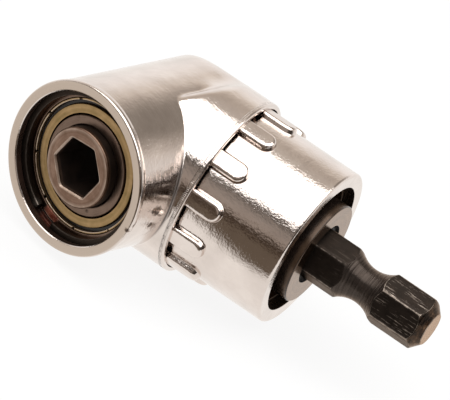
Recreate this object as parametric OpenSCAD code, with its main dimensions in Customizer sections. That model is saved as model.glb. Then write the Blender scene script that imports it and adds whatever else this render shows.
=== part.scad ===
// Angled bit holder: a nickel plated elbow that turns a quarter inch hex drive through 105 degrees.
// The two shafts cross at the apex inside the elbow. The output axis runs along -Y, the drive axis
// slants away in the XY plane, and the origin is the mouth of the bit socket.

/* [Shafts] */
// Angle between the two shafts, both taken outwards from the apex
shaft_angle = 105; // [102:1:108]

/* [Head] */
// Wall of the head barrel round the output bearing
head_wall = 1.2; // [1.1:0.05:2]
// Height of the thicker rim above the head barrel
rim_out = 0.15; // [0.1:0.05:1.2]
// Length of the thicker rim
rim_len = 0.6; // [0.4:0.1:2]
// Taper between the barrel and the rim
rim_taper = 0.4; // [0.3:0.1:1]
// Broken edge round the rim face
rim_edge = 0.25; // [0.1:0.05:0.5]
// Depth of the bearing below the rim face
head_recess = 2.15; // [1.8:0.05:3]
// Diameter of the hollow behind the output bearing
head_hollow_d = 17.2; // [16.8:0.1:17.8]

/* [Elbow] */
// Wall of the elbow's lip round the pads
lip_wall = 0.625; // [0.5:0.025:1.5]
// From the apex to the seam with the sleeve
elbow_len = 9; // [8.8:0.1:10]
// Wall round the back of the elbow
elbow_wall = 1.6; // [1:0.1:2.2]
// The elbow barrel starts this far beside the output axis
shoulder_start = 2.1; // [1:0.1:3]
// Diameter of the hollow round the input gear
elbow_hollow_d = 17.8; // [17.5:0.1:18.6]
// Broken edge of the lip at the seam
lip_edge = 0.4; // [0.1:0.05:0.5]

/* [Sleeve] */
// Wall of the sleeve round its bearings
sleeve_wall = 1.7; // [1.4:0.1:2]
// Length of the sleeve outside the elbow
sleeve_len = 13.5; // [13:0.1:20]
// Length of the sleeve inside the elbow
spigot_len = 3; // [2.6:0.1:3]
// Broken edge at the open end of the sleeve
sleeve_edge = 0.6; // [0.2:0.1:1]
// Depth of the outer bearing below the open end
end_recess = 2.5; // [2.2:0.1:4]
// Number of raised pads round the sleeve
pad_count = 12; // [6:1:14]
// Width of a pad
pad_w = 2.8; // [2:0.1:3.6]
// Height of a pad above the sleeve
pad_h = 0.8; // [0.4:0.1:0.9]
// Length of a pad beyond the seam
pad_len = 4.6; // [3:0.1:7]
// Length of a pad under the lip
pad_under = 1.6; // [1:0.1:1.7]

/* [Output bearing] */
// Bore
out_bore = 10; // [9.6:0.1:10.2]
// Outer diameter
out_od = 19; // [18.8:0.1:19.4]
// Width
out_w = 5; // [4.8:0.1:5.4]
// Ball diameter
out_ball = 2.38; // [2:0.01:2.5]
// Number of balls
out_balls = 12; // [8:1:13]

/* [Input bearings] */
// Outer diameter
in_od = 18; // [17.8:0.1:18.4]
// Radial thickness, from the bore to the outer diameter
in_section = 3; // [2.8:0.05:3.2]
// Width
in_w = 4; // [3.6:0.1:4.4]
// Ball diameter
in_ball = 1.588; // [1.4:0.01:1.65]
// Number of balls
in_balls = 16; // [8:1:20]

/* [Circlips] */
// Thickness of both circlips
clip_t = 1; // [0.8:0.1:1.1]
// Depth of the groove in the bore
groove_depth = 0.5; // [0.3:0.05:0.6]
// Radial width of the output circlip
out_clip_w = 1.2; // [0.8:0.1:1.4]
// Radial width of the drive circlip
in_clip_w = 1.1; // [0.8:0.1:1.3]

/* [Bit spindle] */
// Width across flats of the bit socket
bit_hex = 6.45; // [6.35:0.05:6.6]
// Depth of the bit socket
socket_depth = 8.3; // [7:0.1:8.6]
// Height of the spindle face above the bearing
spindle_proud = 1.55; // [1:0.05:1.9]
// Chamfer round the spindle face
spindle_chamfer = 0.32; // [0.1:0.02:0.5]
// Chamfer round the hexagon of the socket
mouth_chamfer = 0.15; // [0.05:0.05:0.3]
// Diameter of the journals that carry the gears
journal_d = 8; // [7.8:0.1:8.2]
// The flange between the gear and the bearing is this much lower than the inner ring's shoulder
flange_low = 0.2; // [0.1:0.05:0.6]
// Thickness of this flange, which sets how far the head reaches from the apex
flange_t = 2; // [1.6:0.05:4]
// Diameter of the magnet at the bottom of the socket
magnet_d = 6; // [5:0.1:6.2]
// Thickness of the magnet
magnet_t = 1.5; // [1:0.1:2]

/* [Drive spindle and shank] */
// Radial gap between the collar that shows at the open end and the circlip round it
collar_gap = 1.52; // [1:0.02:2]
// Height of the collar beyond the sleeve
collar_out = 1.15; // [0.5:0.05:3]
// Width across flats of the shank
shank_hex = 6.35; // [6:0.05:6.5]
// Side gap between the shank and its hexagonal hole
hex_gap = 0.1; // [0.05:0.01:0.2]
// Length of the shank beyond the collar
shank_out = 16.7; // [15:0.1:60]
// From the shank's end to the middle of its groove
groove_from_end = 9.65; // [8:0.05:10]
// Diameter at the bottom of the groove
groove_d = 4.7; // [4.2:0.1:5.4]
// Radius of the groove's hollow
groove_r = 3.5; // [3:0.1:6]
// Diameter of the shank's end face
tip_d = 4.7; // [4:0.1:5.6]
// Length of the tapered tip along a corner
tip_len = 1.4; // [0.8:0.05:3]
// Diameter of the pin that holds the shank
pin_d = 2; // [1.5:0.1:2.4]

/* [Bevel gears] */
// Teeth on each gear
gear_teeth = 12; // [11:1:14]
// Module at the outer end of the teeth
gear_module = 1.25; // [1.05:0.01:1.26]
// Length of the teeth
gear_face = 3; // [2:0.1:3.1]
// Pressure angle
pressure_angle = 20; // [18:1:24]
// Play between the teeth at the pitch circle
backlash = 0.14; // [0.1:0.02:0.3]

/* [Fits] */
// Radial gap of pressed and seated pieces
seat_gap = 0.01; // [0.005:0.005:0.02]
// Radial gap of pieces that turn in each other
run_gap = 0.03; // [0.02:0.01:0.06]

/* [Hidden] */
$fn = 72;
// One overrun serves every cut
cut = 1;

// Bevel gears: pitch cones that roll on each other, teeth between a root cone and a tip cone
pitch_cone = shaft_angle / 2;
pitch_r = gear_module * gear_teeth / 2;
cone_len = pitch_r / sin(pitch_cone);
toe_len = cone_len - gear_face;
addendum_share = 0.8;
dedendum_share = 1.02;
tip_cone = pitch_cone + atan(addendum_share * gear_module / cone_len);
root_cone = pitch_cone - atan(dedendum_share * gear_module / cone_len);
base_cone = asin(sin(pitch_cone) * cos(pressure_angle));
flank_points = 7;
heel_root_r = cone_len * sin(root_cone);
heel_root_st = cone_len * cos(root_cone);
toe_root_st = toe_len * cos(root_cone);
// Plain band behind the teeth, and the hub that seats the first input bearing
gear_band = 0.5;
gear_hub_len = 1;
gear_back = heel_root_st + gear_band;
// Journals stop short of the face of their gear
journal_short = 0.15;

// Diameters that follow from the bearings and the walls round them
in_bore = in_od - 2 * in_section;
sleeve_d = in_od + 2 * sleeve_wall;
skirt_d = sleeve_d + 2 * pad_h;
elbow_d = skirt_d + 2 * lip_wall;
head_d = out_od + 2 * head_wall;
rim_d = head_d + 2 * rim_out;
collar_d = in_od + 2 * groove_depth - 2 * run_gap - 2 * in_clip_w - 2 * collar_gap;

// Stations along the output axis, from the apex
out_back = gear_back + flange_t;
out_front = out_back + out_w;
head_len = out_front + head_recess;
mouth_st = out_front + spindle_proud;
socket_bottom = mouth_st - socket_depth;

// Stations along the drive axis, from the apex
sleeve_end = elbow_len + sleeve_len;
sleeve_start = elbow_len - spigot_len;
near_front = gear_back + gear_hub_len;
near_back = near_front + in_w;
far_back = sleeve_end - end_recess;
far_front = far_back - in_w;
collar_face = sleeve_end + collar_out;
shank_end = collar_face + shank_out;
pin_st = (near_back + far_front) / 2;
// The hexagonal hole and the shank stop inside the thick part of the spindle
hole_wall = 1;
hole_bottom = near_front + hole_wall;
// Round reliefs that the broach leaves at the corners of the hexagonal hole
relief_d = 0.9;
shank_gap = 0.2;

// Pads are round bars whose middle line lies this far under the skin of the sleeve, cut off level at the top
pad_sink = 0.25;
pad_start = elbow_len - pad_under;
pad_tip = elbow_len + pad_len;
// The back of the elbow lies a hair inside the elbow barrel
back_step = 0.1;
// The shoulder of the elbow barrel rises from just inside the head barrel
shoulder_sink = 0.15;

// Bearing rings: how far the shoulders stand from the ball circle, as a share of the ball
shoulder_share = 0.3;
inner_shoulder_share = 0.4;
// Broken edges of the rings at their seats, and of the ground shoulders
ring_chamfer = 0.25;
shoulder_chamfer = 0.15;
// Cages: wall and height as shares of the ball, gap between ball and pocket
cage_t_share = 0.3;
cage_h_share = 1.22;
pocket_gap = 0.05;
// Shields: sheet thickness, depth below the ring face, gap to the inner ring, seat in the outer ring
shield_t = 0.2;
shield_depth = 0.12;
shield_gap = 0.08;
shield_seat = 0.8;
shield_step = 0.65;
shield_rim_w = 0.24;
shield_notches = 9;
shield_notch_w = 0.35;
shield_notch_turn = 4.8;
function ball_circle(bore, od) = (bore + od) / 2;
// Radius of the shoulders of the inner rings, and seat diameter of the shields in the outer rings
out_shoulder_r = ball_circle(out_bore, out_od) / 2 - inner_shoulder_share * out_ball;
out_seat_d = ball_circle(out_bore, out_od) + 2 * shoulder_share * out_ball + 2 * shield_rim_w + 2 * shield_t;
in_shoulder_r = ball_circle(in_bore, in_od) / 2 - inner_shoulder_share * in_ball;
in_seat_d = ball_circle(in_bore, in_od) + 2 * shoulder_share * in_ball + 2 * shield_t;
flange_d = 2 * (out_shoulder_r - flange_low);

// Turn of the hexagons, the pads and the circlip gaps about their axes
socket_turn = 12;
shank_turn = 17.6;
pad_turn = 180 / pad_count;
clip_gap_turn = -99;
clip_gap_half = 12;
drive_clip_turn = 40;

nickel = "#c6c0b8";
steel = "#8f8b86";
dark_steel = "#5b5652";
zinc = "#a8905a";
black_oxide = "#2b2826";
black_spring = "#1e1c1b";

// Places a piece that is drawn up its own Z axis, with X pointing at the other shaft
module at_apex() {
    translate([0, mouth_st, 0]) children();
}

module on_head() {
    at_apex() rotate([90, 0, 0]) children();
}

module on_drive() {
    at_apex() rotate([0, 0, shaft_angle]) rotate([90, 0, 0]) rotate([0, 0, 180]) children();
}

// Plain ring between two stations
module ring(d_out, d_in, from, to) {
    difference() {
        translate([0, 0, from]) cylinder(d = d_out, h = to - from);
        translate([0, 0, from - cut]) cylinder(d = d_in, h = to - from + 2 * cut);
    }
}

module rod(d, from, to) {
    translate([0, 0, from]) cylinder(d = d, h = to - from);
}

module hexagon_rod(af, turn, from, to) {
    translate([0, 0, from]) rotate([0, 0, turn]) cylinder(d = af / cos(30), h = to - from, $fn = 6);
}

// Head: barrel and thicker rim, turned about the output axis
module head_outside() {
    rotate_extrude() polygon([
        [0, -elbow_d],
        [head_d / 2, -elbow_d],
        [head_d / 2, head_len - rim_len - rim_taper],
        [rim_d / 2, head_len - rim_len],
        [rim_d / 2, head_len - rim_edge],
        [rim_d / 2 - rim_edge, head_len],
        [0, head_len]]);
}

// All that lies behind the apex and outside a barrel about the drive axis
module behind(barrel_d) {
    difference() {
        on_head() translate([-elbow_d, -elbow_d, -2 * elbow_d]) cube([2 * elbow_d, 2 * elbow_d, 2 * elbow_d]);
        on_drive() translate([0, 0, -2 * elbow_d]) cylinder(d = barrel_d, h = 4 * elbow_d);
    }
}

// Elbow barrel, which rises with a slanted shoulder from the flank of the head
module elbow_outside() {
    rise = elbow_d / 2 - head_d / 2 + 2 * shoulder_sink;
    half = head_d / 2 - shoulder_sink;
    intersection() {
        on_drive() rotate_extrude() polygon([
            [0, -elbow_d / 2],
            [elbow_d / 2, -elbow_d / 2],
            [elbow_d / 2, elbow_len - lip_edge],
            [elbow_d / 2 - lip_edge, elbow_len],
            [0, elbow_len]]);
        on_head() translate([0, 0, -2 * elbow_d]) linear_extrude(4 * elbow_d) polygon([
            [shoulder_start, -half],
            [shoulder_start, half],
            [shoulder_start + rise, half + rise],
            [2 * elbow_d, half + rise],
            [2 * elbow_d, -half - rise],
            [shoulder_start + rise, -half - rise]]);
    }
}

module head_bores() {
    groove_end = out_front + clip_t + 2 * run_gap;
    rod(out_od + 2 * seat_gap, out_back, head_len + cut);
    rod(out_od + 2 * groove_depth, out_front, groove_end);
    translate([0, 0, head_len - mouth_chamfer])
        cylinder(d1 = out_od, d2 = out_od + 2 * mouth_chamfer + 2 * cut, h = mouth_chamfer + cut);
}

module elbow_bores() {
    rod(elbow_hollow_d, 0, sleeve_start + cut);
    rod(sleeve_d + 2 * seat_gap, sleeve_start, elbow_len + cut);
    rod(skirt_d + 2 * seat_gap, pad_start - seat_gap, elbow_len + cut);
}

module head_housing() {
    color(nickel) difference() {
        union() {
            difference() {
                on_head() head_outside();
                behind(elbow_d - 2 * back_step);
                on_drive() rod(4 * elbow_d, elbow_len - lip_edge, 4 * elbow_d);
            }
            elbow_outside();
        }
        difference() {
            on_head() rod(head_hollow_d, -elbow_d, out_back + cut);
            behind(elbow_d - 2 * back_step - 2 * elbow_wall);
        }
        on_head() head_bores();
        on_drive() elbow_bores();
    }
}

// Sleeve: turned tube with raised pads that key it to the elbow and give grip
module pad_bar() {
    union() {
        rod(pad_w, pad_start - cut, pad_tip - pad_w / 2);
        translate([0, 0, pad_tip - pad_w / 2]) sphere(d = pad_w);
    }
}

module pads() {
    for (k = [0 : pad_count - 1])
        intersection() {
            rod(skirt_d, pad_start, pad_tip + cut);
            rotate([0, 0, pad_turn + 360 * k / pad_count]) translate([sleeve_d / 2 - pad_sink, 0, 0]) pad_bar();
        }
}

module drive_sleeve() {
    land_d = in_od - 2 * groove_depth - in_ball / 2;
    color(nickel) on_drive() difference() {
        union() {
            rotate_extrude() polygon([
                [0, sleeve_start],
                [sleeve_d / 2, sleeve_start],
                [sleeve_d / 2, sleeve_end - sleeve_edge],
                [sleeve_d / 2 - sleeve_edge, sleeve_end],
                [0, sleeve_end]]);
            pads();
        }
        rod(in_od + 2 * seat_gap, sleeve_start - cut, near_back);
        rod(elbow_hollow_d, sleeve_start - cut, near_front);
        rod(land_d, near_back - cut, far_front + cut);
        rod(in_od + 2 * seat_gap, far_front, sleeve_end + cut);
        rod(in_od + 2 * groove_depth, far_back, far_back + clip_t + 2 * run_gap);
    }
}

// Circlip: open ring with square ends, sprung into its groove
module circlip(bore, w, from, turn) {
    outer = bore / 2 + groove_depth - run_gap;
    color(black_spring) difference() {
        ring(2 * outer, 2 * (outer - w), from + run_gap, from + run_gap + clip_t);
        translate([0, 0, from - cut]) linear_extrude(clip_t + 2 * run_gap + 2 * cut) rotate(turn)
            polygon([
                [0, 0],
                [bore * cos(clip_gap_half), -bore * sin(clip_gap_half)],
                [bore * cos(clip_gap_half), bore * sin(clip_gap_half)]]);
    }
}

module output_circlip() {
    on_head() circlip(out_od, out_clip_w, out_front, clip_gap_turn);
}

module drive_circlip() {
    on_drive() circlip(in_od, in_clip_w, far_back, drive_clip_turn);
}

// Deep groove ball bearing, drawn with its back face at the given station
module ball_track(bore, od, w, ball) {
    translate([ball_circle(bore, od) / 2, w / 2]) circle(d = ball + 2 * run_gap);
}

module outer_ring(bore, od, w, ball, seat_d, from) {
    shoulder_r = ball_circle(bore, od) / 2 + shoulder_share * ball;
    color(steel) translate([0, 0, from]) rotate_extrude() difference() {
        polygon([
            [shoulder_r, 0],
            [od / 2 - ring_chamfer, 0],
            [od / 2, ring_chamfer],
            [od / 2, w - ring_chamfer],
            [od / 2 - ring_chamfer, w],
            [shoulder_r, w]]);
        ball_track(bore, od, w, ball);
        translate([0, -cut]) square([seat_d / 2 + seat_gap, cut + shield_seat]);
        translate([0, w - shield_seat]) square([seat_d / 2 + seat_gap, cut + shield_seat]);
    }
}

module inner_ring(bore, od, w, ball, from) {
    shoulder_r = ball_circle(bore, od) / 2 - inner_shoulder_share * ball;
    color(steel) translate([0, 0, from]) rotate_extrude() difference() {
        polygon([
            [bore / 2 + seat_gap, 0],
            [shoulder_r - shoulder_chamfer, 0],
            [shoulder_r, shoulder_chamfer],
            [shoulder_r, w - shoulder_chamfer],
            [shoulder_r - shoulder_chamfer, w],
            [bore / 2 + seat_gap, w]]);
        ball_track(bore, od, w, ball);
        for (side = [0, 1])
            translate([bore / 2, side * w]) rotate(45) square(ring_chamfer * sqrt(2), center = true);
    }
}

module balls(bore, od, w, ball, count, from) {
    color(steel) for (k = [0 : count - 1])
        rotate([0, 0, 360 * k / count]) translate([ball_circle(bore, od) / 2, 0, from + w / 2]) sphere(d = ball, $fn = 32);
}

module cage(bore, od, w, ball, count, from) {
    middle = from + w / 2;
    half_h = cage_h_share * ball / 2;
    circle_d = ball_circle(bore, od);
    color(zinc) difference() {
        ring(circle_d + cage_t_share * ball, circle_d - cage_t_share * ball, middle - half_h, middle + half_h);
        for (k = [0 : count - 1])
            rotate([0, 0, 360 * k / count]) translate([circle_d / 2 - ball, 0, middle])
                rotate([0, 90, 0]) cylinder(d = ball + 2 * pocket_gap, h = 2 * ball);
    }
}

// Pressed shield of the output bearing: flat annulus, groove and notched rim, facing +Z from station 0
module stepped_shield() {
    flat_r = out_seat_d / 2 - shield_rim_w - 2 * shield_t;
    color(zinc) difference() {
        rotate_extrude() polygon([
            [out_shoulder_r + shield_gap, -shield_depth - shield_t],
            [out_shoulder_r + shield_gap, -shield_depth],
            [flat_r, -shield_depth],
            [flat_r, -shield_step],
            [out_seat_d / 2 - shield_rim_w, -shield_step],
            [out_seat_d / 2 - shield_rim_w, -shield_depth],
            [out_seat_d / 2, -shield_depth],
            [out_seat_d / 2, -shield_step - shield_t / 2],
            [flat_r - shield_t, -shield_step - shield_t / 2],
            [flat_r - shield_t, -shield_depth - shield_t]]);
        for (k = [0 : shield_notches - 1])
            rotate([0, 0, shield_notch_turn + 360 * k / shield_notches])
                translate([out_seat_d / 2 - shield_rim_w - shield_t / 2, -shield_notch_w / 2, -shield_step])
                    cube([shield_rim_w + shield_t, shield_notch_w, shield_step]);
    }
}

module flat_shield() {
    color(zinc) ring(in_seat_d, 2 * (in_shoulder_r + shield_gap), -shield_depth - shield_t, -shield_depth);
}

module output_outer_ring() {
    on_head() outer_ring(out_bore, out_od, out_w, out_ball, out_seat_d, out_back);
}

module output_inner_ring() {
    on_head() inner_ring(out_bore, out_od, out_w, out_ball, out_back);
}

module output_balls() {
    on_head() balls(out_bore, out_od, out_w, out_ball, out_balls, out_back);
}

module output_cage() {
    on_head() cage(out_bore, out_od, out_w, out_ball, out_balls, out_back);
}

module output_front_shield() {
    on_head() translate([0, 0, out_front]) stepped_shield();
}

module output_rear_shield() {
    on_head() translate([0, 0, out_back]) mirror([0, 0, 1]) stepped_shield();
}

module gear_end_outer_ring() {
    on_drive() outer_ring(in_bore, in_od, in_w, in_ball, in_seat_d, near_front);
}

module gear_end_inner_ring() {
    on_drive() inner_ring(in_bore, in_od, in_w, in_ball, near_front);
}

module gear_end_balls() {
    on_drive() balls(in_bore, in_od, in_w, in_ball, in_balls, near_front);
}

module gear_end_cage() {
    on_drive() cage(in_bore, in_od, in_w, in_ball, in_balls, near_front);
}

module gear_end_front_shield() {
    on_drive() translate([0, 0, near_front]) mirror([0, 0, 1]) flat_shield();
}

module gear_end_rear_shield() {
    on_drive() translate([0, 0, near_back]) flat_shield();
}

module shank_end_outer_ring() {
    on_drive() outer_ring(in_bore, in_od, in_w, in_ball, in_seat_d, far_front);
}

module shank_end_inner_ring() {
    on_drive() inner_ring(in_bore, in_od, in_w, in_ball, far_front);
}

module shank_end_balls() {
    on_drive() balls(in_bore, in_od, in_w, in_ball, in_balls, far_front);
}

module shank_end_cage() {
    on_drive() cage(in_bore, in_od, in_w, in_ball, in_balls, far_front);
}

module shank_end_front_shield() {
    on_drive() translate([0, 0, far_front]) mirror([0, 0, 1]) flat_shield();
}

module shank_end_rear_shield() {
    on_drive() translate([0, 0, far_back]) flat_shield();
}

// Bit spindle: journal for the gear, flange, bearing seat, and a hexagonal socket with broken edges
module bit_spindle() {
    face_d = out_bore - 2 * spindle_chamfer;
    color(dark_steel) on_head() difference() {
        rotate_extrude() polygon([
            [0, toe_root_st + journal_short],
            [journal_d / 2, toe_root_st + journal_short],
            [journal_d / 2, gear_back],
            [flange_d / 2, gear_back],
            [flange_d / 2, out_back],
            [out_bore / 2, out_back],
            [out_bore / 2, mouth_st - spindle_chamfer],
            [face_d / 2, mouth_st],
            [0, mouth_st]]);
        hexagon_rod(bit_hex, socket_turn, socket_bottom, mouth_st + cut);
        translate([0, 0, mouth_st - mouth_chamfer]) rotate([0, 0, socket_turn]) cylinder(
            d1 = bit_hex / cos(30), d2 = (bit_hex + 4 * mouth_chamfer) / cos(30), h = 2 * mouth_chamfer, $fn = 6);
        rod(magnet_d + 2 * seat_gap, socket_bottom - magnet_t, socket_bottom + cut);
    }
}

module socket_magnet() {
    color(steel) on_head() rod(magnet_d, socket_bottom - magnet_t, socket_bottom);
}

// Spherical involute: azimuth of the flank at a polar angle, for a line that rolls on the base cone
function roll_arc(polar) = acos(min(1, cos(polar) / cos(base_cone)));
function flank_azimuth(polar) = roll_arc(polar) / sin(base_cone) - atan2(tan(roll_arc(polar)), sin(base_cone));
function half_tooth(polar) = 90 / gear_teeth - backlash / 2 / pitch_r * 90 / PI
    + flank_azimuth(pitch_cone) - flank_azimuth(max(polar, base_cone));
function cone_point(dist, polar, turn) = dist * [sin(polar) * cos(turn), sin(polar) * sin(turn), cos(polar)];

// Toothed wheel as one closed solid: teeth between two spheres about the apex, root lands, a plain band
// behind them and flat end faces. Round a tooth the points run from its left root over the tip to its right root.
module toothed_wheel(turn) {
    m = 2 * flank_points;
    last = gear_teeth - 1;
    polars = [for (k = [0 : flank_points - 1]) root_cone + (tip_cone - root_cone) * k / (flank_points - 1)];
    section = concat([for (k = [0 : flank_points - 1]) [polars[k], half_tooth(polars[k])]],
        [for (k = [flank_points - 1 : -1 : 0]) [polars[k], -half_tooth(polars[k])]]);
    pitch = 360 / gear_teeth;
    heel = gear_teeth * m;
    back = 2 * heel;
    polyhedron(
        points = concat(
            [for (t = [0 : last]) for (p = section) cone_point(toe_len, p[0], turn + pitch * t + p[1])],
            [for (t = [0 : last]) for (p = section) cone_point(cone_len, p[0], turn + pitch * t + p[1])],
            [for (t = [0 : last]) for (j = [0, m - 1])
                let (a = turn + pitch * t + section[j][1]) [heel_root_r * cos(a), heel_root_r * sin(a), gear_back]]),
        faces = concat(
            [for (t = [0 : last]) for (k = [t * m : t * m + m - 2]) [k, k + 1, heel + k + 1]],
            [for (t = [0 : last]) for (k = [t * m : t * m + m - 2]) [k, heel + k + 1, heel + k]],
            [for (t = [0 : last]) for (k = [0 : flank_points - 2]) [t * m + k, t * m + m - 1 - k, t * m + k + 1]],
            [for (t = [0 : last]) for (k = [0 : flank_points - 2])
                [t * m + k + 1, t * m + m - 1 - k, t * m + m - 2 - k]],
            [for (t = [0 : last]) for (k = [0 : flank_points - 2])
                [heel + t * m + k, heel + t * m + k + 1, heel + t * m + m - 1 - k]],
            [for (t = [0 : last]) for (k = [0 : flank_points - 2])
                [heel + t * m + k + 1, heel + t * m + m - 2 - k, heel + t * m + m - 1 - k]],
            [for (t = [0 : last]) let (q = (t + last) % gear_teeth)
                [t * m + m - 1, q * m, heel + q * m, heel + t * m + m - 1]],
            [for (t = [0 : last]) [heel + t * m, heel + t * m + m - 1, back + 2 * t + 1, back + 2 * t]],
            [for (t = [0 : last]) let (q = (t + last) % gear_teeth)
                [heel + t * m + m - 1, heel + q * m, back + 2 * q, back + 2 * t + 1]],
            [[for (t = [0 : last]) for (j = [m - 1, 0]) t * m + j]],
            [[for (t = [last : -1 : 0]) for (j = [0, 1]) back + 2 * t + j]]),
        convexity = 4);
}

module bevel_gear(turn, hub_d, hub_len) {
    color(dark_steel) difference() {
        union() {
            toothed_wheel(turn);
            if (hub_len > 0) rod(hub_d, gear_back - gear_band / 2, gear_back + hub_len);
        }
        rod(journal_d + 2 * seat_gap, toe_root_st - cut, gear_back + hub_len + cut);
    }
}

module output_bevel_gear() {
    on_head() bevel_gear(0, 0, 0);
}

module input_bevel_gear() {
    on_drive() bevel_gear(180 / gear_teeth, 2 * in_shoulder_r, gear_hub_len);
}

// Drive spindle: journal for the gear, seat for both bearings, and the collar that shows at the end
module drive_spindle() {
    step_d = 2 * in_shoulder_r;
    step_len = shield_depth + shield_t;
    color(steel) on_drive() difference() {
        rotate_extrude() polygon([
            [0, toe_root_st + journal_short],
            [journal_d / 2, toe_root_st + journal_short],
            [journal_d / 2, near_front],
            [in_bore / 2, near_front],
            [in_bore / 2, far_back],
            [step_d / 2, far_back],
            [step_d / 2, far_back + step_len],
            [collar_d / 2, far_back + step_len],
            [collar_d / 2, collar_face - mouth_chamfer],
            [collar_d / 2 - mouth_chamfer, collar_face],
            [0, collar_face]]);
        hexagon_rod(shank_hex + 2 * hex_gap, shank_turn, hole_bottom, collar_face + cut);
        for (k = [0 : 5])
            rotate([0, 0, shank_turn + 60 * k]) translate([shank_hex / 2 / cos(30), 0, 0])
                rod(relief_d, hole_bottom, collar_face + cut);
        pin_hole();
    }
}

module pin_hole() {
    translate([0, 0, pin_st]) rotate([90, 0, shank_turn]) cylinder(d = pin_d + 2 * seat_gap, h = 2 * in_bore, center = true);
}

module bearing_spacer() {
    color(steel) on_drive() ring(2 * in_shoulder_r, in_bore + 2 * seat_gap, near_back, far_front);
}

module shank_pin() {
    color(steel) on_drive() translate([0, 0, pin_st]) rotate([90, 0, shank_turn])
        cylinder(d = pin_d, h = in_bore - 2 * run_gap - pin_d * pin_d / in_bore / 2, center = true);
}

// Shank: hexagon with a turned groove and a tapered tip
module hex_shank() {
    corner_r = shank_hex / 2 / cos(30);
    groove_st = shank_end - groove_from_end;
    color(black_oxide) on_drive() difference() {
        intersection() {
            hexagon_rod(shank_hex, shank_turn, hole_bottom + shank_gap, shank_end);
            rotate_extrude() polygon([
                [0, 0],
                [2 * corner_r, 0],
                [2 * corner_r, shank_end - tip_len * (2 * corner_r - tip_d / 2) / (corner_r - tip_d / 2)],
                [tip_d / 2, shank_end],
                [0, shank_end]]);
        }
        translate([0, 0, groove_st]) rotate_extrude() translate([groove_d / 2 + groove_r, 0]) circle(r = groove_r);
        pin_hole();
    }
}

head_housing();
drive_sleeve();
output_circlip();
drive_circlip();
output_outer_ring();
output_inner_ring();
output_balls();
output_cage();
output_front_shield();
output_rear_shield();
gear_end_outer_ring();
gear_end_inner_ring();
gear_end_balls();
gear_end_cage();
gear_end_front_shield();
gear_end_rear_shield();
shank_end_outer_ring();
shank_end_inner_ring();
shank_end_balls();
shank_end_cage();
shank_end_front_shield();
shank_end_rear_shield();
bit_spindle();
socket_magnet();
output_bevel_gear();
input_bevel_gear();
drive_spindle();
bearing_spacer();
shank_pin();
hex_shank();
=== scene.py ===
import math
from functools import partial
import bpy
import numpy as np
from mathutils import Matrix


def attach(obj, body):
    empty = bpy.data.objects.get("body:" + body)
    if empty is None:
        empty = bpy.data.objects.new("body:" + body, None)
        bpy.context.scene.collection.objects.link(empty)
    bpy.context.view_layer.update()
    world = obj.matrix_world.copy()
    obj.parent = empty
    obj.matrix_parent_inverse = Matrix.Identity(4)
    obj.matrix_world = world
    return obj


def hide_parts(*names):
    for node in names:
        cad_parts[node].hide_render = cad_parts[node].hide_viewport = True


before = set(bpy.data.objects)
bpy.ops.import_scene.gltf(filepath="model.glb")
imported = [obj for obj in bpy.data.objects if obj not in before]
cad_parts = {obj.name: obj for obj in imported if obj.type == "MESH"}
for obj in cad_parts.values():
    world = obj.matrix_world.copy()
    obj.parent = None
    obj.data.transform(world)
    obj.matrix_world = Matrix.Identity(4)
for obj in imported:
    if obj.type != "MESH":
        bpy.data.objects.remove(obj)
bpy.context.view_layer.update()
scene = bpy.context.scene

# places in mm; both axes pass through the apex, the output one against y, the drive one turned from x towards y
apexY = 15.756
apex = np.array([0.0, apexY, 0.0])
shaftTurn = math.radians(15)
driveDir = np.array([math.cos(shaftTurn), math.sin(shaftTurn), 0.0])
frontDir = np.array([math.sin(shaftTurn), -math.cos(shaftTurn), 0.0])
upDir = np.array([0.0, 0.0, 1.0])
headAlong = -math.pi / 2  # the turn about z that lays x along the output axis
fullTurn = 2 * math.pi


def onHead(x, y, st):
    # station runs from the apex down the output axis, x towards the drive side, y up
    return np.stack([x, apexY - st, y], -1)


def onDrive(x, y, st):
    # station runs from the apex along the drive axis, x towards the front, y down
    return apex + x[..., None] * frontDir - y[..., None] * upDir + st[..., None] * driveDir


def swept(place, radius, station, turn):
    # cylinder coordinates: radius times the cosine and sine of turn, at that station along the axis
    x = radius * np.cos(turn)
    return place(x, radius * np.sin(turn), np.broadcast_to(station, x.shape))


def fade(value, start, over):
    # 0 at start and 1 at start + over, straight between them and level beyond; a negative over falls
    return np.clip((value - start) / over, 0, 1)


def smoothMin(a, b, k):
    # min(a, b) less k/4 of the square of the overlap max(k - |a - b|, 0) / k
    h = np.maximum(k - np.abs(a - b), 0) / k
    return np.minimum(a, b) - h * h * k / 4


def smoothMax(a, b, k):
    # the smooth minimum of both values turned over, turned back
    return -smoothMin(-a, -b, k)


def linearHex(code):
    # sRGB hex to linear: c/12.92 below 0.04045, else ((c+0.055)/1.055)^2.4
    rgb = [int(code[i:i + 2], 16) / 255 for i in (1, 3, 5)]
    return tuple(c / 12.92 if c <= 0.04045 else ((c + 0.055) / 1.055) ** 2.4 for c in rgb) + (1.0,)


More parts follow.
